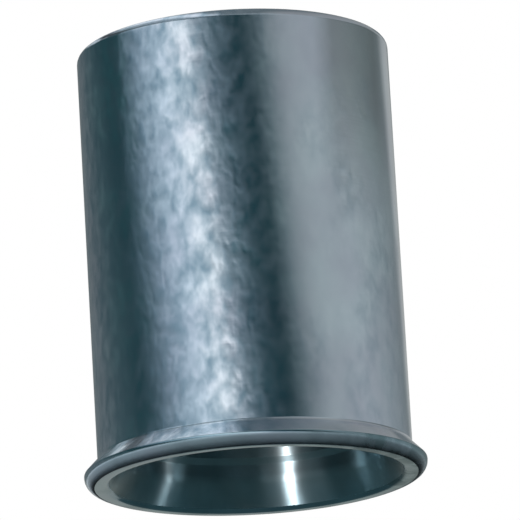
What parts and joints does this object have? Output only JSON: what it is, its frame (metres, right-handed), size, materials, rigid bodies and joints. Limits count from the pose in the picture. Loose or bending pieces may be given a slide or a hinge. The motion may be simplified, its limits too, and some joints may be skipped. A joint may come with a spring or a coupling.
{
  "type": "rivet nut",
  "caption": "Blind rivet nut: a plain round threaded sleeve with a small conical head, set from one side to give thin sheet a strong metric thread.",
  "frame": {"origin": "centre of the head's face, which the nut stands on", "axes": "+Z along the axis from the head to the threaded end; X and Y are any two square directions across it"},
  "size_m": [0.012, 0.012, 0.0156],
  "materials": {
    "zinc_plated_steel": "bright zinc plate with a clear blue passivation, slightly mottled"
  },
  "bodies": {
    "root": {"rivet_nut": "zinc_plated_steel"}
  },
  "joints": []
}
